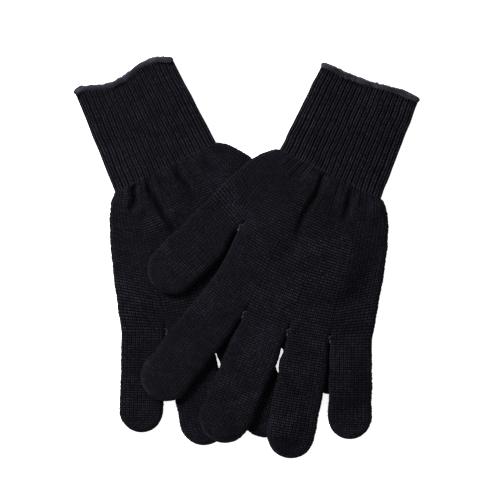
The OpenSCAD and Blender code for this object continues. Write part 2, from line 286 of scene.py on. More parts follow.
def arc_places(n, width, low, high):
    """Places from 0 to 1 of n + 1 columns across a width. low and high say, from 0 to 1, how much
    each side is a folded edge, where the columns follow the roundness of the fold."""
    t = np.linspace(0, 1, n + 1)
    r = min(EDGE_R, 0.42 * width)
    q = 1.56 * r

    def edged(a, b):
        total = width + (q - r) * (a + b)
        s = t * total
        out = s - (q - r) * a
        if a:
            out = np.where(s < q, r * (1 - np.cos(s / q * math.pi / 2)), out)
        if b:
            back = total - s
            out = np.where(back < q, width - r * (1 - np.cos(back / q * math.pi / 2)), out)
        return out / width

    return (
        (1 - low) * (1 - high) * edged(0, 0)
        + low * (1 - high) * edged(1, 0)
        + (1 - low) * high * edged(0, 1)
        + low * high * edged(1, 1)
    )


def fold_share(distance, reach=EDGE_R):
    """Share of the full thickness at a distance in from a folded edge."""
    return np.sqrt(np.clip(1 - (1 - np.clip(distance / reach, 0, 1)) ** 2, 0, 1))


def normals_of(p):
    """Unit normals of a surface given as rows by columns of points."""
    di = np.gradient(p, axis=1)
    dj = np.gradient(p, axis=0)
    n = np.cross(di, dj)
    size = np.linalg.norm(n, axis=-1, keepdims=True)
    return n / np.where(size < 1e-9, 1, size)


def make_mesh(name, points, quads, uv, material, mirror, shade=None):
    """A smooth mesh from points in millimetres in the pair's frame. Quads are rows of four
    indices, uv gives each corner its wale and course, and shade is each point's painted shade."""
    mesh = bpy.data.meshes.new(name)
    if mirror:
        quads, uv = quads[:, ::-1], uv[:, ::-1]
    mesh.vertices.add(len(points))
    mesh.vertices.foreach_set("co", (points / 1000.0).astype(np.float32).ravel())
    mesh.loops.add(quads.size)
    mesh.loops.foreach_set("vertex_index", quads.astype(np.int32).ravel())
    mesh.polygons.add(len(quads))
    mesh.polygons.foreach_set("loop_start", np.arange(0, quads.size, 4, dtype=np.int32))
    mesh.polygons.foreach_set("loop_total", np.full(len(quads), 4, np.int32))
    layer = mesh.uv_layers.new(name="knit")
    layer.data.foreach_set("uv", uv.astype(np.float32).ravel())
    # The shade attribute carries painted shade, which the yarn material multiplies into its colour.
    if shade is not None:
        painted_shade_layer = mesh.attributes.new("shade", "FLOAT", "POINT")
        painted_shade_layer.data.foreach_set("value", shade.astype(np.float32))
    mesh.update(calc_edges=True)
    mesh.validate()
    mesh.polygons.foreach_set("use_smooth", np.ones(len(mesh.polygons), bool))
    mesh.materials.append(material)
    obj = bpy.data.objects.new(name, mesh)
    bpy.context.scene.collection.objects.link(obj)
    return obj


def straightened(normals, joined):
    """Normals turned towards straight up or down by joined, from 0 to 1, which is 1 on the rows
    where a piece meets the next, so that both move their shared points alike."""
    straight = np.zeros_like(normals)
    straight[..., 2] = np.sign(normals[..., 2:3].sum())
    out = normals * (1 - joined[..., None]) + straight * joined[..., None]
    return out / np.maximum(np.linalg.norm(out, axis=-1, keepdims=True), 1e-6)


def tube_object(
    name, side, flat, share, thick, uv, material, top_rise, under_rise, joined, shade, keep=None
):
    """A flattened tube, closed at its two folded sides. flat holds its places in the plane, as
    rows by columns, share its share of the thickness there, joined how near each is to the piece
    beside it, and keep which of its cells are there: all, or fewer columns after some row."""
    rows, cols = share.shape
    middle = drape(side, flat) + thick / 2
    half = (thick / 2 - SKIN) * share
    plane = to_pair(side, flat)
    top = np.dstack([plane, middle + half])
    under = np.dstack([plane, middle - half])
    up = normals_of(top)
    up *= np.sign(up[..., 2:3].sum() or 1)
    down = normals_of(under)
    down *= -np.sign(down[..., 2:3].sum() or 1)
    top = top + straightened(up, joined) * top_rise[..., None]
    under = under + straightened(down, joined) * under_rise[..., None]
    # The underside has every second column, and shares the fold's points with the top.
    pick = np.arange(0, cols, 2)
    under = under[:, pick]
    top_id = np.arange(rows * cols).reshape(rows, cols)
    under_id = rows * cols + np.arange(rows * len(pick)).reshape(rows, len(pick))
    if keep is None:
        keep = np.ones((rows - 1, cols - 1), bool)
    keep_under = keep[:, ::2]
    # Both layers meet at the first column and at each row's last one.
    last = np.append(keep.sum(1), keep[-1].sum())
    for j in range(rows):
        under_id[j, 0] = top_id[j, 0]
        edge = int(last[j])
        under_id[j, edge // 2] = top_id[j, edge]
    if last[0] != last[-1]:
        turn = int(np.argmax(last != last[0]))
        under_id[turn, int(last[0]) // 2] = top_id[turn, int(last[0])]

    def cells(grid, mask, flip, axis):
        q = np.stack([grid[:-1, :-1], grid[:-1, 1:], grid[1:, 1:], grid[1:, :-1]], axis)[mask]
        return q[:, ::-1] if flip else q

    quads = np.vstack([cells(top_id, keep, True, -1), cells(under_id, keep_under, False, -1)])
    uvs = np.vstack([cells(uv, keep, True, -2), cells(uv[:, pick], keep_under, False, -2)])
    points = np.vstack([top.reshape(-1, 3), under.reshape(-1, 3)])
    shades = np.concatenate([shade.ravel(), shade[:, pick].ravel()])
    used, inverse = np.unique(quads, return_inverse=True)
    quads = inverse.reshape(quads.shape)
    return make_mesh(name, points[used], quads, uvs, material, side == RIGHT, shades[used])


# --- Materials --------------------------------------------------------------------------------


class Nodes:
    """A short way to write a material's nodes."""

    def __init__(self, name):
        self.material = bpy.data.materials.new(name)
        self.material.use_nodes = True
        self.tree = self.material.node_tree
        self.shader = self.tree.nodes["Principled BSDF"]

    def add(self, kind, **settings):
        node = self.tree.nodes.new(kind)
        for key, value in settings.items():
            setattr(node, key, value)
        return node

    def link(self, source, target):
        self.tree.links.new(source, target)

    def put(self, socket, value):
        if hasattr(value, "links"):
            self.link(value, socket)
        else:
            socket.default_value = value

    def math(self, operation, a, b=0.0, c=0.0):
        node = self.add("ShaderNodeMath", operation=operation)
        for socket, value in zip(node.inputs, (a, b, c)):
            self.put(socket, value)
        return node.outputs[0]

    def noise(self, vector, scale, detail=2.0, roughness=0.5):
        node = self.add("ShaderNodeTexNoise")
        self.put(node.inputs["Vector"], vector)
        node.inputs["Scale"].default_value = scale
        node.inputs["Detail"].default_value = detail
        node.inputs["Roughness"].default_value = roughness
        return node.outputs[0]

    def spread(self, value, low, high, to_low, to_high):
        node = self.add("ShaderNodeMapRange")
        for socket, v in zip(node.inputs, (value, low, high, to_low, to_high)):
            self.put(socket, v)
        return node.outputs[0]

    def knit_place(self):
        """The wale and the course at each point, or a thread's turns round it and along it."""
        split = self.add("ShaderNodeSeparateXYZ")
        self.link(self.add("ShaderNodeUVMap", uv_map="knit").outputs[0], split.inputs[0])
        return split.outputs[0], split.outputs[1]

    def surface(self, colour, tone, height, strength, distance):
        """The shader's colour, made brighter or darker by tone, and its bumps."""
        shade = self.add("ShaderNodeVectorMath", operation="SCALE")
        self.link(colour, shade.inputs[0])
        self.link(tone, shade.inputs["Scale"])
        self.link(shade.outputs[0], self.shader.inputs["Base Color"])
        bump = self.add("ShaderNodeBump")
        bump.inputs["Strength"].default_value = strength
        bump.inputs["Distance"].default_value = distance
        self.link(height, bump.inputs["Height"])
        self.link(bump.outputs[0], self.shader.inputs["Normal"])

    def gloss(self, rough, specular, sheen, sheen_rough, tint):
        """How the surface shines, and the glow of its fibres."""
        names = ("Roughness", "Specular IOR Level", "Sheen Weight", "Sheen Roughness", "Sheen Tint")
        for name, value in zip(names, (rough, specular, sheen, sheen_rough, tint)):
            self.put(self.shader.inputs[name], value)

    def mix(self, factor, a, b):
        node = self.add("ShaderNodeMix", data_type="RGBA")
        self.put(node.inputs["Factor"], factor)
        self.put(node.inputs["A"], a)
        self.put(node.inputs["B"], b)
        return node.outputs["Result"]


def yarn_material(name, deep, crest, worn, middle=0.55, gap=3.0, sheen=0.02):
    """Knitted yarn. deep is painted shade, the colour between the stitches, and crest the colour on
    top of them, middle how deep the gap is along the middle of a wale, gap how narrow the one
    between wales is, and worn how much paler the fibres have rubbed. The mesh's shade attribute
    darkens its hollows with painted shade."""
    n = Nodes(name)
    u, v = n.knit_place()
    # Two slanting legs in every wale.
    x = n.math("MULTIPLY", n.math("ABSOLUTE", n.math("SUBTRACT", n.math("FRACT", u), 0.5)), 2.0)
    slant = n.math("MULTIPLY_ADD", x, 0.4, v)
    leg = n.math("ABSOLUTE", n.math("SINE", n.math("MULTIPLY", slant, math.pi)))
    dip = n.math("EXPONENT", n.math("MULTIPLY", n.math("POWER", x, 2.0), -12.0))
    width = n.math("SUBTRACT", 1.0, n.math("POWER", x, gap))
    width = n.math("MULTIPLY", width, n.math("MULTIPLY_ADD", dip, -middle, 1.0))
    body = n.math("MULTIPLY", width, n.math("MULTIPLY_ADD", n.math("POWER", leg, 1.5), 0.78, 0.22))
    # Fibres, single stitches that are paler or darker, faint courses, and soft patches.
    solid = n.add("ShaderNodeTexCoord").outputs["Object"]
    fibre = n.noise(solid, 5200.0, 3.0, 0.65)
    fluff = n.noise(solid, 1150.0, 2.0, 0.6)
    patch = n.noise(solid, 55.0, 3.0, 0.55)
    cell = n.add("ShaderNodeCombineXYZ")
    n.link(n.math("FLOOR", u), cell.inputs[0])
    n.link(n.math("FLOOR", v), cell.inputs[1])
    single = n.add("ShaderNodeTexWhiteNoise", noise_dimensions="2D")
    n.link(cell.outputs[0], single.inputs["Vector"])
    course = n.add("ShaderNodeTexNoise", noise_dimensions="1D")
    n.link(v, course.inputs["W"])
    course.inputs["Scale"].default_value = 0.22
    course.inputs["Detail"].default_value = 2.0
    tone = n.spread(patch, 0.3, 0.7, 0.88, 1.12)
    tone = n.math("MULTIPLY", n.spread(fibre, 0.3, 0.7, 0.72, 1.28), tone)
    tone = n.math("MULTIPLY", tone, n.spread(single.outputs["Value"], 0.0, 1.0, 0.78, 1.22))
    tone = n.math("MULTIPLY", tone, n.spread(course.outputs[0], 0.3, 0.7, 0.92, 1.08))
    tone = n.math("MULTIPLY", tone, n.spread(fluff, 0.36, 0.66, 0.45, 1.90))
    # The mesh's shade attribute multiplies painted shade into the colour.
    tone = n.math("MULTIPLY", tone, n.add("ShaderNodeAttribute", attribute_name="shade").outputs["Fac"])
    # Painted shade: the colour falls from crest to deep in the gaps between the stitches.
    colour = n.mix(n.math("POWER", body, 2.1), (*deep, 1.0), (*crest, 1.0))
    rubbed = n.math("MULTIPLY", n.math("POWER", body, 3.0), n.spread(patch, 0.5, 0.75, 0.0, worn))
    colour = n.mix(rubbed, colour, (*(c * 2.2 for c in crest), 1.0))
    n.surface(colour, tone, n.math("MULTIPLY_ADD", fibre, 0.25, body), 0.9, 0.00045)
    n.gloss(n.spread(fibre, 0.3, 0.7, 0.78, 0.98), 0.02, sheen, 0.5, (0.62, 0.60, 0.78, 1.0))
    return n.material


def thread_material(name, deep, crest, twist, blotch=0.2):
    """Twisted thread, with its plies slanting round it and painted shade, deep, in the grooves between
    them. blotch is how unevenly it is coloured.
    """
    n = Nodes(name)
    solid = n.add("ShaderNodeTexCoord").outputs["Object"]
    u, v = n.knit_place()
    slant = n.math("MULTIPLY_ADD", v, twist, u)
    ply = n.math("ABSOLUTE", n.math("SINE", n.math("MULTIPLY", slant, math.pi)))
    fibre = n.noise(solid, 4200.0, 3.0, 0.65)
    patch = n.noise(solid, 110.0, 2.0, 0.5)
    # Painted shade: deep lies in the grooves between the plies and crest on top of them.
    colour = n.mix(ply, (*deep, 1.0), (*crest, 1.0))
    tone = n.spread(patch, 0.35, 0.65, 1 - blotch, 1 + blotch)
    tone = n.math("MULTIPLY", n.spread(fibre, 0.3, 0.7, 0.7, 1.3), tone)
    n.surface(colour, tone, n.math("MULTIPLY_ADD", fibre, 0.3, ply), 0.8, 0.00012)
    n.gloss(0.85, 0.06, 0.05, 0.4, (0.65, 0.62, 0.82, 1.0))
    return n.material


# Painted shade for the gaps between the stitches of the jersey and the touch tips.
STITCH_GAP_SHADE = (0.0002, 0.0002, 0.0004)
JERSEY = yarn_material("jersey", STITCH_GAP_SHADE, (0.0166, 0.0149, 0.0220), worn=0.3)
# The rib's first colour is painted shade between its stitches.
RIB = yarn_material(
    "rib", (0.0001, 0.0001, 0.0002), (0.0285, 0.0260, 0.0380), worn=0.2, middle=0.75, gap=2.2
)
TOUCH = yarn_material("touch_knit", STITCH_GAP_SHADE, (0.0169, 0.0152, 0.0223), worn=0.4, sheen=0.025)
# Each thread's first colour is painted shade in the grooves between its plies.
EDGING = thread_material(
    "overlock_thread", (0.0045, 0.0042, 0.0065), (0.0285, 0.0268, 0.0385), twist=1.0, blotch=0.5
)
ELASTIC = thread_material("elastic_yarn", (0.0030, 0.0030, 0.0034), (0.0150, 0.0150, 0.0165), twist=2.0)
CLOSING = thread_material("closing_yarn", (0.0120, 0.0115, 0.0160), (0.0620, 0.0600, 0.0740), twist=2.0)


# --- The hand ---------------------------------------------------------------------------------

# Each strip's first wale and first column across the hand.
ALL_WALES = sum(HAND_WALES.values())
FIRST, FIRST_COLUMN = {}, {}
_wale = _column = 0
for _name in ORDER:
    FIRST[_name], FIRST_COLUMN[_name] = _wale, _column
    _wale += HAND_WALES[_name]
    _column += COLUMNS[_name]


def wales_across(name, more):
    """The wale at each column of a strip. more says, from 0 to 1, how many of the finger's own
    wales have joined those of the hand."""
    t = np.linspace(-0.5, 0.5, COLUMNS[name] + 1)
    count = HAND_WALES[name] + (WALES[name] - HAND_WALES[name]) * more
    return FIRST[name] + HAND_WALES[name] / 2 + t * count


def wrist_place(share):
    """A place on the wrist line, share being 0 at the little finger's side and 1 at the thumb's."""
    return WRIST_LITTLE + (WRIST_THUMB - WRIST_LITTLE) * np.asarray(share)[..., None]


def boundaries(side, v):
    """The six lines that divide the hand into strips, at v from 0 at the wrist to 1 at the finger
    roots. The last one is the thumb's outer side, which ends at the thumb's root."""
    crotch_v = CROTCH_COURSE / HAND_COURSES
    into = heading(26)
    outward = (WRIST_THUMB - WRIST_LITTLE) / WRIST_W
    to_thumb = np.clip(v / crotch_v, 0, 1)
    past_thumb = np.clip((v - crotch_v) / (1 - crotch_v), 0, 1)

    def line_to(name, crotch, lean, pull, t):
        share = FIRST[name] / ALL_WALES
        start = wrist_place(share)
        flare = into + outward * (2 * share - 1) * 0.8
        reach = np.linalg.norm(crotch - start)
        return bezier3(
            start, start + flare * reach * pull, crotch - heading(lean) * reach * 0.34, crotch, t
        )

    lines = [bezier3(WRIST_LITTLE, *LITTLE_BULGE[side], LITTLE_ROOT[side], v)]
    lines += [line_to(name, *crotch, 0.24, v) for name, crotch in CROTCHES.items()]
    lower = line_to("thumb", THUMB_CROTCH, 40, 0.3, to_thumb)
    bow = THUMB_CROTCH + np.array([-5.6, -12.9]), INDEX_ROOT + np.array([8.7, 11.1])
    upper = bezier3(THUMB_CROTCH, *bow, INDEX_ROOT, past_thumb)
    lines.append(np.where((v <= crotch_v)[:, None], lower, upper))
    lines.append(bezier2(WRIST_THUMB, THUMB_BULGE, THUMB_ROOT, to_thumb))
    return lines


def near_roots(v):
    """From 0 to 1, how close to the finger roots and to the thumb's root each v is."""
    return smooth((v - 0.89) / 0.11), smooth((v - CROTCH_COURSE / HAND_COURSES + 0.1) / 0.1)


def pinches(v):
    """How much each dividing line is a folded edge, at v."""
    near, thumb = near_roots(v)
    one = np.ones_like(v)
    return [one, near, near, near, thumb, one]


def knit_rise(u, v, wale_width, share):
    """Height of the stitches above the flat fabric, in millimetres."""
    height = STITCH_RISE * np.clip(wale_width / WALE, 0.15, 1.1)
    return height * stitch_relief(u, v) * smooth(share * 3) - 0.12


def uneven_edge(place, seed):
    """How far a folded edge stands out, in millimetres, at distances along it."""
    zero = 0 * place
    return (
        0.20 * ripple(place, zero, 2.6, seed)
        + 0.35 * ripple(place, zero, 15.0, seed + 1)
        + 0.10 * np.cos(2 * math.pi * place / COURSE)
    )


def fold_depth(side, flat):
    """How far the folds and soft hollows of the hand's back sink, in millimetres."""
    out = np.zeros(flat.shape[:-1])
    for points, width, depth in FOLDS[side]:
        path = np.array(points, float)
        lengths = np.cumsum([0, *np.linalg.norm(np.diff(path, axis=0), axis=1)])
        near = np.full(out.shape, 1e9)
        along = np.zeros(out.shape)
        for k, (a, b) in enumerate(zip(path, path[1:])):
            ab = b - a
            t = np.clip(((flat - a) @ ab) / (ab @ ab), 0, 1)
            d = np.linalg.norm(flat - a - t[..., None] * ab, axis=-1)
            closer = d < near
            near = np.where(closer, d, near)
            along = np.where(closer, (lengths[k] + t * np.linalg.norm(ab)) / lengths[-1], along)
        strength = depth * np.sin(math.pi * np.clip(0.08 + 0.9 * along, 0, 1)) ** 0.6
        # The hollow, and the fabric that swells up on both sides of it.
        hollow = np.exp(-((near / width) ** 2))
        swell = np.exp(-(((near - 2.3 * width) / (1.2 * width)) ** 2))
        out += strength * (hollow - 0.42 * swell)
    return out


def hand_grid(side, v):
    """The hand's places, shares of the thickness, widths of a wale and wales, at rows v."""
    lines, pinch = boundaries(side, v), pinches(v)
    near, near_thumb = near_roots(v)
    loose = smooth(v / 0.05) * (1 - near)
    # The two outer lines are folded edges, and uneven.
    for edge, inner, seed, free in ((0, 1, 5, loose), (5, 4, 15, loose * (1 - near_thumb))):
        out = uneven_edge(v * HAND_COURSES * COURSE, seed + side) * free
        way = lines[edge] - lines[inner]
        way /= np.maximum(np.linalg.norm(way, axis=1, keepdims=True), 1e-6)
        lines[edge] = lines[edge] + way * out[:, None]
    grids = [], [], [], []
    for k, name in enumerate(ORDER):
        n = COLUMNS[name]
        part, shares, widths, ranks = [], [], [], []
        for j in range(len(v)):
            a, b = lines[k][j], lines[k + 1][j]
            size = np.linalg.norm(b - a)
            places = arc_places(n, size, pinch[k][j], pinch[k + 1][j])
            low = 1 + (fold_share(places * size) - 1) * pinch[k][j]
            high = 1 + (fold_share((1 - places) * size) - 1) * pinch[k + 1][j]
            part.append(a + (b - a) * places[:, None])
            shares.append(low * high)
            more = near_thumb[j] if name == "thumb" else near[j]
            # Wales join where the strip is wide, so that no stitch is much wider than a wale.
            wide = (size / (WALE + 0.05) - HAND_WALES[name]) / (WALES[name] - HAND_WALES[name])
            more = max(more, min(1.0, wide))
            rank = wales_across(name, more)
            ranks.append(rank)
            widths.append(np.full(n + 1, size / (rank[-1] - rank[0])))
        # Each strip shares its first column with the strip before it.
        for grid, strip in zip(grids, (part, shares, widths, ranks)):
            grid.append(np.array(strip)[:, min(k, 1):])
    return [np.hstack(grid) for grid in grids]


def make_hand(side):
    """The palm and back: ribs and gathers run into it from the cuff, and folds cross its back."""
    rows = HAND_COURSES * PER_COURSE
    crotch_row = CROTCH_COURSE * PER_COURSE
    v = np.linspace(0, 1, rows + 1)
    flat, share, width, wale = hand_grid(side, v)
    cols = flat.shape[1]
    keep = np.ones((rows, cols - 1), bool)
    keep[crotch_row:, FIRST_COLUMN["thumb"]:] = False
    course = np.repeat((np.arange(rows + 1) / PER_COURSE)[:, None], cols, 1)
    uv = np.stack([wale, course], -1)
    thick = (CUFF_T + (FLAT_T - CUFF_T) * smooth(v * HAND_COURSES / CROTCH_COURSE))[:, None]
    across = wale / ALL_WALES
    from_wrist = (v * HAND_COURSES * COURSE)[:, None]
    # The ribs fade out at uneven distances from the wrist.
    reach = 17.0 + 5.0 * ripple(across * WRIST_W, 0 * across, 11.0, 51 + side)
    fade = np.exp(-((from_wrist / reach) ** 2))
    ribs = WRIST_RIB * (rib_relief(across) - 1) * fade
    gather = ripple(across * WRIST_W, from_wrist * 0.35, 7.0, 11 + side) * np.exp(-from_wrist / 22.0)
    sunk = fold_depth(side, flat)
    soft = 0.35 * ripple(flat[..., 0], flat[..., 1], 30.0, 21 + side) - 0.30
    fine = 0.12 * ripple(flat[..., 0], flat[..., 1], 9.0, 31 + side)
    body = smooth(share * 1.3)
    away = smooth(from_wrist / 4) * smooth((1 - v[:, None]) / 0.05)
    stitches = knit_rise(uv[..., 0], uv[..., 1], width, share) * smooth(from_wrist / 4)
    top = stitches + ribs * body + (gather + soft + fine - sunk) * body * away
    top = np.minimum(top, SKIN + RISE)
    under = np.minimum(0.6 * stitches + ribs * body * 0.7 - 0.1, UNDER_RISE)
    to_root = ((1 - v) * HAND_COURSES * COURSE)[:, None]
    off_thumb = np.where(np.arange(cols) < FIRST_COLUMN["thumb"], 99, 0)
    to_thumb = np.abs(from_wrist - CROTCH_COURSE * COURSE) + off_thumb
    joined = 1 - smooth(np.minimum(np.minimum(from_wrist, to_root), to_thumb) / JOIN)
    # Painted shade darkens the ribs' hollows, the folds and the fabric drawn in between the gathers,
    # and near the wrist the whole is painted brighter to make up for the ribs' painted shade.
    gather_shade = np.clip(-ripple(across * WRIST_W, from_wrist * 0.3, 7.0, 13 + side), 0, 1)
    gather_shade = gather_shade * np.exp(-from_wrist / 16.0)
    shade = (1 + 0.60 * fade) * (1 - 0.92 * fade * (1 - rib_relief(across)))
    shade = shade * (1 - 0.60 * gather_shade * smooth(from_wrist / 4))
    shade = shade * (1 - 0.16 * np.clip(sunk, 0, 2.5))
    obj = tube_object(
        SIDES[side] + "_hand_knit", side, flat, share, thick, uv,
        JERSEY, top, under, joined, shade, keep,
    )
    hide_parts(SIDES[side] + "_hand")
    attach(obj, SIDES[side] + "_hand")


# --- Fingers ----------------------------------------------------------------------------------


def finger_rows(spec):
    """Distance from the root, share of the half width and turn of each row of a finger."""
    _, _, _, low, high, length = spec
    r = (low + high) / 2
    straight = length - r
    n = round(straight / COURSE) * PER_COURSE
    m = round(r * math.pi / 2 / COURSE) * PER_COURSE
    turns = np.linspace(0, math.pi / 2, m + 1)[1:-1]
    round_tip = straight + r * np.sin(turns)
    s = np.concatenate([np.linspace(0, straight, n + 1), round_tip, [length - 0.001]])
    turn = np.concatenate([np.zeros(n + 1), turns, [math.pi / 2 - 0.012]])
    return s, turn


def finger_grid(side, name):
    """A finger's rows, and its places, shares of the thickness and widths of a wale."""
    spec = fingers(side)[name]
    a, b, lean, low, high, length = spec
    r = (low + high) / 2
    s, turn = finger_rows(spec)
    n = COLUMNS[name]
    root = np.linalg.norm(b - a)
    seed = 140 + 20 * side + ORDER.index(name)
    low_edge, high_edge = uneven_edge(s, seed), uneven_edge(s, seed + 9)
    flat = np.zeros((len(s), n + 1, 2))
    share = np.zeros((len(s), n + 1))
    width = np.zeros((len(s), n + 1))
    for j, (at, phi) in enumerate(zip(s, turn)):
        swell = smooth(at / 22.0)
        shrink = math.cos(phi)
        loose = smooth(at / 5.0) * shrink
        low_half = (root / 2 + (low - root / 2) * swell) * shrink + low_edge[j] * loose
        high_half = (root / 2 + (high - root / 2) * swell) * shrink + high_edge[j] * loose
        size = low_half + high_half
        full = size / shrink
        places = arc_places(n, full, 1, 1)
        middle = (a + b) / 2 + sideways(lean) * (high - low) / 2 * swell * (1 - shrink)
        straight_row = middle + sideways(lean) * (places * size - low_half)[:, None]
        root_row = a + (b - a) * places[:, None]
        w = smooth(at / 14.0)
        flat[j] = root_row * (1 - w) + straight_row * w + heading(lean) * at
        x = places * 2 - 1
        if phi > 0:
            inward = r * (1 - np.sqrt((x * shrink) ** 2 + math.sin(phi) ** 2))
            share[j] = fold_share(inward)
        else:
            share[j] = fold_share(places * full) * fold_share((1 - places) * full)
        width[j] = full / WALES[name] * shrink
    return s, flat, share, width


def make_finger(side, name):
    """A finger, and its conductive tip if it has one."""
    s, flat, share, width = finger_grid(side, name)
    a, b, lean, _, _, length = fingers(side)[name]
    start_course = CROTCH_COURSE if name == "thumb" else HAND_COURSES
    course = start_course + np.arange(len(s)) / PER_COURSE
    uv = np.stack(np.meshgrid(wales_across(name, 1.0), course), -1)
    seed = 40 + 10 * side + ORDER.index(name)
    along = s[:, None]
    away = smooth(along / 6.0)
    soft = (0.28 * ripple(flat[..., 0], flat[..., 1], 17.0, seed) - 0.28) * away
    bands = 0.12 * ripple(along + 0 * share, 0 * share, 8.0, seed + 7) * away
    body = smooth(share * 1.3)
    stitches = knit_rise(uv[..., 0], uv[..., 1], width, share)
    top = np.minimum(stitches + (soft + bands) * body, SKIN + RISE)
    under = np.minimum(0.6 * stitches - 0.1, UNDER_RISE)
    joined = np.repeat(1 - smooth(along / JOIN), share.shape[1], 1)
    # Painted shade, darker towards the folded edges and the rounded tip, where the tube turns under.
    shade = 0.70 + 0.30 * smooth(share * 1.1)
    body_name = SIDES[side] + ("_thumb" if name == "thumb" else f"_{name}_finger")
    parts = [(slice(0, len(s)), JERSEY, "jersey_knit", body_name)]
    if name in ("thumb", "index"):
        split = int(np.argmin(np.abs(s - (length - TOUCH_LEN))))
        tip = SIDES[side] + f"_{name}_touch_tip"
        parts = [
            (slice(0, split + 1), JERSEY, "jersey_knit", body_name),
            (slice(split, len(s)), TOUCH, "touch_knit", tip),
        ]
    for rows, material, slot, stands_for in parts:
        obj = tube_object(
            stands_for + "_knit", side, flat[rows], share[rows], FLAT_T, uv[rows],
            material, top[rows], under[rows], joined[rows], shade[rows],
        )
        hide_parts(stands_for)
        if side == RIGHT:
            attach(obj, "right_hand")
        elif stands_for.endswith("touch_tip"):
            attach(obj, body_name)
        else:
            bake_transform(obj)


# --- The cuff ---------------------------------------------------------------------------------


def cuff_axis(side):
    """The way from the wrist to the cuff's mouth."""
    r = math.radians(CUFF_LEAN[side])
    return np.array([math.sin(r), math.cos(r)])


def wave(side, u):
    """How far the mouth's edge stands out at places u from -1 to 1 across it."""
    out, size, start = MOUTH_WAVE[side]
    return (out + size * np.sin(np.radians(200 * (u - start)))) * (1 - np.abs(u) ** 8)


def cuff_line(side, s, u):
    """Places in the plane at a distance s from the wrist, u running from -1 to 1 across."""
    tilt = math.radians(MOUTH_TILT[side])
    mouth = MOUTH_W / 2 * np.array([-math.cos(tilt), -math.sin(tilt)])
    t = s / CUFF_LEN
    end = WRIST_THUMB * (1 - t) + mouth * t
    u = np.asarray(u)
    return cuff_axis(side) * s + end * u[:, None] + cuff_axis(side) * (wave(side, u) * t)[:, None]


def wrist_places():
    """Where the hand's columns meet the wrist, from 0 to 1, and the wale of each."""
    out, wales = [], []
    for k, name in enumerate(ORDER):
        size = WRIST_W * HAND_WALES[name] / ALL_WALES
        places = arc_places(COLUMNS[name], size, 1 if k == 0 else 0, 1 if k == 4 else 0)
        first = 0 if k == 0 else 1
        out.append((FIRST[name] + places * HAND_WALES[name])[first:] / ALL_WALES)
        wales.append(wales_across(name, 0.0)[first:])
    return np.concatenate(out), np.concatenate(wales)


def make_cuff(side):
    """The ribbed cuff, up to the middle of its edging."""
    length = CUFF_LEN - EDGING_W * 0.55
    rows = round(length / CUFF_COURSE) * PER_COURSE
    s = np.linspace(0, length, rows + 1)
    places, wale = wrist_places()
    # The cuff is drawn in a little by its elastic, unevenly, and its folded sides aren't straight.
    waist = 1 + 0.006 * ripple(s, 0 * s, 17.0, 65 + side) * smooth(s / 6)
    flat = np.array([cuff_line(side, at, (places * 2 - 1) * w) for at, w in zip(s, waist)])
    d = np.minimum(places, 1 - places) * WRIST_W
    share = np.repeat(fold_share(d)[None], rows + 1, 0)
    across = wale / ALL_WALES
    along = s[:, None]
    wobble = 0.0030 * ripple(along + 0 * share, (across * WRIST_W)[None], 16.0, 61 + side)
    place = across[None] + wobble * smooth(along / 8)
    # A rib is one wale of wide stitches.
    uv = np.stack([place * RIBS, np.repeat(along / CUFF_COURSE, len(places), 1)], -1)
    ribs = (WRIST_RIB + 0.35 * smooth(along / 6)) * (rib_relief(place) - 1)
    legs = 0.30 * stitch_relief(uv[..., 0], uv[..., 1]) * smooth(along / 4)
    soft = 0.35 * ripple(flat[..., 0], flat[..., 1], 26.0, 71 + side) - 0.35
    # Just inside the edging the fabric is drawn down, more in some places than in others.
    draw = smooth((along - (length - 5.5)) / 3.5)
    hollows = ripple((across * WRIST_W)[None] + 0 * share, 0 * share, 19.0, 83 + side)
    hollows = np.clip(hollows, -0.2, 1)
    body = smooth(share * 1.3)
    top = (ribs + legs + soft * smooth(along / 10) - draw * (0.4 + 1.5 * hollows)) * body
    top = np.minimum(top, SKIN + RISE)
    under = np.minimum((0.7 * ribs + 0.5 * legs) * body - 0.10, UNDER_RISE)
    joined = np.repeat(1 - smooth(along / JOIN), share.shape[1], 1)
    # Painted shade in the ribs' valleys, and painted shadow in the hollows just inside the edging.
    shade = 1.12 * (0.50 + 0.50 * rib_relief(place))
    shade = shade * (1 - draw * np.clip(0.25 + 0.6 * hollows, 0, 0.8))
    obj = tube_object(
        SIDES[side] + "_cuff_rib", side, flat, share, CUFF_T, uv,
        RIB, top, under, joined, shade,
    )
    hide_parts(SIDES[side] + "_cuff")
    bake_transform(obj)


def loop_path(side, s, inset, half, count, lag=0.0):
    """A closed path of count points round the flattened cuff, at a distance s from the wrist, inset
    from the cuff's sides and half above and below its middle. Its lower layer stands out beyond
    the upper one by lag."""
    cuff_w = WRIST_W + (MOUTH_W - WRIST_W) * s / CUFF_LEN
    size = cuff_w - 2 * inset
    r = min(half * 1.2, size / 2)
    straight = size - 2 * r
    turn = math.pi * half
    total = 2 * straight + 2 * turn
    u, z = np.zeros(count), np.zeros(count)
    for k, q in enumerate(np.linspace(0, total, count, endpoint=False)):
        if q < straight:
            u[k], z[k] = -straight / 2 + q, half
        elif q < straight + turn:
            g = (q - straight) / turn * math.pi
            u[k], z[k] = straight / 2 + r * math.sin(g), half * math.cos(g)
        elif q < 2 * straight + turn:
            u[k], z[k] = straight / 2 - (q - straight - turn), -half
        else:
            g = (q - 2 * straight - turn) / turn * math.pi
            u[k], z[k] = -straight / 2 - r * math.sin(g), -half * math.cos(g)
    plane = cuff_line(side, s, u / cuff_w * 2) + cuff_axis(side) * (lag * (0.5 - z / half / 2))[:, None]
    return np.column_stack([to_pair(side, plane), z + CUFF_T / 2])


def ways_along(path, closed=True):
    """The direction of a path at each of its points."""
    ahead = np.roll(path, -1, 0) - np.roll(path, 1, 0)
    if not closed:
        ahead[0], ahead[-1] = path[1] - path[0], path[-1] - path[-2]
    ahead /= np.linalg.norm(ahead, axis=1, keepdims=True)
    return ahead


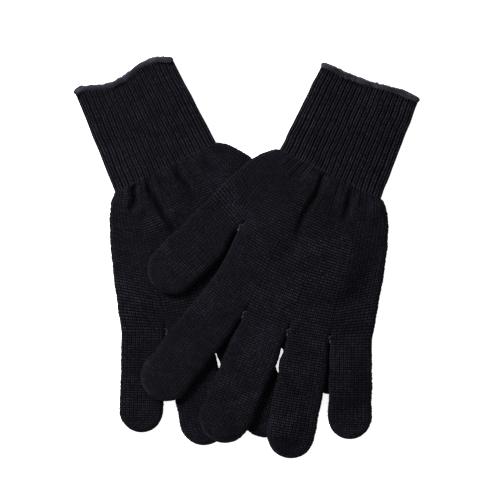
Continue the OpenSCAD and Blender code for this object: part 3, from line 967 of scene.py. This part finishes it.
def thread_tube(path, radius, ring, turns, closed=True):
    """Points, cells and map of a round thread of ring sides along a path. Its map repeats turns
    times along it."""
    ahead = ways_along(path, closed)
    side_way = np.cross(ahead, [0.0, 0.0, 1.0])
    weak = np.linalg.norm(side_way, axis=1) < 0.2
    side_way[weak] = np.cross(ahead[weak], [0.31, 0.95, 0.0])
    for k in range(1, len(path)):
        w = side_way[k - 1] - ahead[k] * (ahead[k] @ side_way[k - 1])
        side_way[k] = w / max(np.linalg.norm(w), 1e-9)
    side_way[0] /= np.linalg.norm(side_way[0])
    over = np.cross(ahead, side_way)
    g = np.linspace(0, 2 * math.pi, ring, endpoint=False)
    radius = np.broadcast_to(radius, (len(path),))
    points = path[:, None] + radius[:, None, None] * (
        np.cos(g)[None, :, None] * side_way[:, None] + np.sin(g)[None, :, None] * over[:, None]
    )
    n = len(path)
    j = np.arange(n if closed else n - 1)
    i = np.arange(ring)
    jj, ii = np.meshgrid(j, i, indexing="ij")
    corners = [(jj, ii), (jj, ii + 1), (jj + 1, ii + 1), (jj + 1, ii)]
    quads = np.stack([(a % n) * ring + b % ring for a, b in corners], -1)
    uv = np.stack([np.stack([b / ring * 2, a / n * turns], -1) for a, b in corners], -2)
    return points.reshape(-1, 3), quads.reshape(-1, 4), uv.reshape(-1, 4, 2)


def join(parts):
    """Several threads as one."""
    points, quads, uv, base = [], [], [], 0
    for p, q, m in parts:
        points.append(p)
        quads.append(q + base)
        uv.append(m)
        base += len(p)
    return np.vstack(points), np.vstack(quads), np.vstack(uv)


def wound(core, radius, pitch, thread, seed):
    """A thread wound round a closed core path, as the overlock stitch goes round the fabric."""
    steps = np.linalg.norm(np.roll(core, -1, 0) - core, axis=1)
    length = steps.sum()
    turns = round(length / pitch)
    n = turns * 12
    at = np.linspace(0, 1, n, endpoint=False)
    where = np.concatenate([[0], np.cumsum(steps)]) / length
    closed = np.vstack([core, core[:1]])
    line = np.stack([np.interp(at, where, closed[:, k]) for k in range(3)], 1)
    radius = np.interp(at, where, np.append(radius, radius[0]))
    ahead = ways_along(line)
    across = np.cross(ahead, [0.0, 0.0, 1.0])
    across /= np.maximum(np.linalg.norm(across, axis=1, keepdims=True), 1e-9)
    over = np.cross(across, ahead)
    rng = np.random.default_rng(seed)
    loose = np.repeat(rng.uniform(0.92, 1.10, turns), 12)
    g = at * turns * 2 * math.pi
    out = radius * loose
    path = line + (out * np.cos(g))[:, None] * across + (out * np.sin(g))[:, None] * over
    return thread_tube(path, thread, 6, turns * 3)


def make_edging(side):
    """The overlocked lip: a lumpy core with thread wound closely round it."""
    count = 420
    core = loop_path(side, CUFF_LEN - EDGING_W / 2 - 0.15, 1.05, CUFF_T / 2 - 1.75, count, lag=1.0)
    # Places round a circle as long as the lip, so that its unevenness closes on itself.
    at = np.arange(count) / count * 2 * math.pi
    x, y = 22 * np.cos(at), 22 * np.sin(at)
    lumps = 1 + 0.20 * ripple(x, y, 3.6, 93 + side)
    core[:, 1] += 0.40 * ripple(x, y, 7.0, 91 + side)
    thread = wound(core, 1.42 * lumps, 0.95, 0.36, 3 + side)
    points, quads, uv = join([thread_tube(core, 1.30 * lumps, 12, 90), thread])
    points[:, 2] = np.clip(points[:, 2], 0.02, CUFF_T + 0.2)
    name = SIDES[side] + "_cuff_overlock"
    obj = make_mesh(name, points, quads, uv, EDGING, False)
    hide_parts(SIDES[side] + "_cuff_edging")
    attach(obj, SIDES[side] + "_cuff")


def make_elastic(side):
    """The rows of elastic yarn held inside the cuff."""
    gap = (CUFF_LEN - EDGING_W - 0.6) / (ELASTIC_ROWS + 1)
    count = 150
    parts = []
    for k in range(1, ELASTIC_ROWS + 1):
        path = loop_path(side, 1.2 + k * gap, 2.6, CUFF_T / 2 - 1.95, count)
        path[:, 1] += 0.12 * ripple(np.arange(count) * 0.9, np.zeros(count), 6.0, 100 + k)
        parts.append(thread_tube(path, 0.26, 6, 60))
    points, quads, uv = join(parts)
    name = SIDES[side] + "_cuff_elastic_rows"
    obj = make_mesh(name, points, quads, uv, ELASTIC, False)
    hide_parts(SIDES[side] + "_cuff_elastic")
    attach(obj, SIDES[side] + "_cuff")


def make_crotch_stitches(side):
    """A few turns of yarn that close each crotch, and the end left on it."""
    parts = []
    for place, lean in ((THUMB_CROTCH, 42), *reversed(CROTCHES.values())):
        way = heading(lean)
        cross = sideways(lean)
        at = place - way * 0.9
        z = float(drape(side, at[None])[0]) + FLAT_T / 2
        t = np.linspace(0, 1, 96)
        g = t * 6 * 2 * math.pi
        flat = place + way * (0.8 + 1.2 * np.cos(g))[:, None] + cross * (1.7 * (t - 0.5))[:, None]
        path = np.column_stack([to_pair(side, flat), z + 1.25 * np.sin(g)])
        parts.append(thread_tube(path, 0.26, 6, 36, closed=False))
        # The end comes up through the crotch and lies on the back.
        t = np.linspace(0, 1, 24)
        flat = at + way * (0.6 - 2.6 * t)[:, None] + cross * (0.9 * np.sin(4 * t))[:, None]
        path = np.column_stack([to_pair(side, flat), z + 1.2 + 2.35 * np.minimum(1, 2 * t) ** 0.6])
        parts.append(thread_tube(path, 0.24 * (1 - 0.35 * t), 6, 8, closed=False))
    points, quads, uv = join(parts)
    name = SIDES[side] + "_crotch_closing_stitches"
    obj = make_mesh(name, points, quads, uv, CLOSING, False)
    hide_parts(SIDES[side] + "_crotch_stitches")
    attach(obj, SIDES[side] + "_hand")


for _side in (RIGHT, LEFT):
    make_hand(_side)
    for _name in ORDER:
        make_finger(_side, _name)
    make_cuff(_side)
    make_edging(_side)
    make_elastic(_side)
    make_crotch_stitches(_side)


# --- Floor, light and camera ------------------------------------------------------------------


def make_stage():
    """White paper under the gloves, even light all round and one soft lamp up on the left."""
    mesh = bpy.data.meshes.new("floor")
    mesh.from_pydata([(-4, -4, 0), (4, -4, 0), (4, 4, 0), (-4, 4, 0)], [], [(0, 1, 2, 3)])
    floor = bpy.data.objects.new("floor", mesh)
    bpy.context.scene.collection.objects.link(floor)
    paper = bpy.data.materials.new("white_paper")
    paper.use_nodes = True
    shader = paper.node_tree.nodes["Principled BSDF"]
    shader.inputs["Base Color"].default_value = (0.92, 0.92, 0.92, 1)
    shader.inputs["Roughness"].default_value = 0.9
    shader.inputs["Specular IOR Level"].default_value = 0.1
    # The paper is lit from behind a little, so that it stays white beside the gloves.
    shader.inputs["Emission Color"].default_value = (1, 1, 1, 1)
    shader.inputs["Emission Strength"].default_value = 0.80
    mesh.materials.append(paper)

    world = bpy.data.worlds.new("studio")
    world.use_nodes = True
    world.node_tree.nodes["Background"].inputs[0].default_value = (1, 1, 1, 1)
    world.node_tree.nodes["Background"].inputs[1].default_value = 0.62
    bpy.context.scene.world = world

    data = bpy.data.lights.new("key", "AREA")
    data.shape = "DISK"
    data.size = 0.55
    data.energy = 44.0
    lamp = bpy.data.objects.new("key", data)
    lamp.location = (-0.84, 0.62, 1.15)
    lamp.rotation_euler = (-lamp.location).to_track_quat("-Z", "Y").to_euler()
    bpy.context.scene.collection.objects.link(lamp)


def make_camera():
    """Straight above the pair, far enough away to see it almost without perspective."""
    distance, width = 2.0, 0.310
    data = bpy.data.cameras.new("camera")
    data.sensor_width = 36
    data.lens = data.sensor_width * distance / width
    data.clip_end = 20
    camera = bpy.data.objects.new("camera", data)
    camera.location = (0.0019, 0.0050, 2.008)
    bpy.context.scene.collection.objects.link(camera)
    bpy.context.scene.camera = camera


make_stage()
make_camera()
bpy.context.scene.view_settings.view_transform = "Standard"
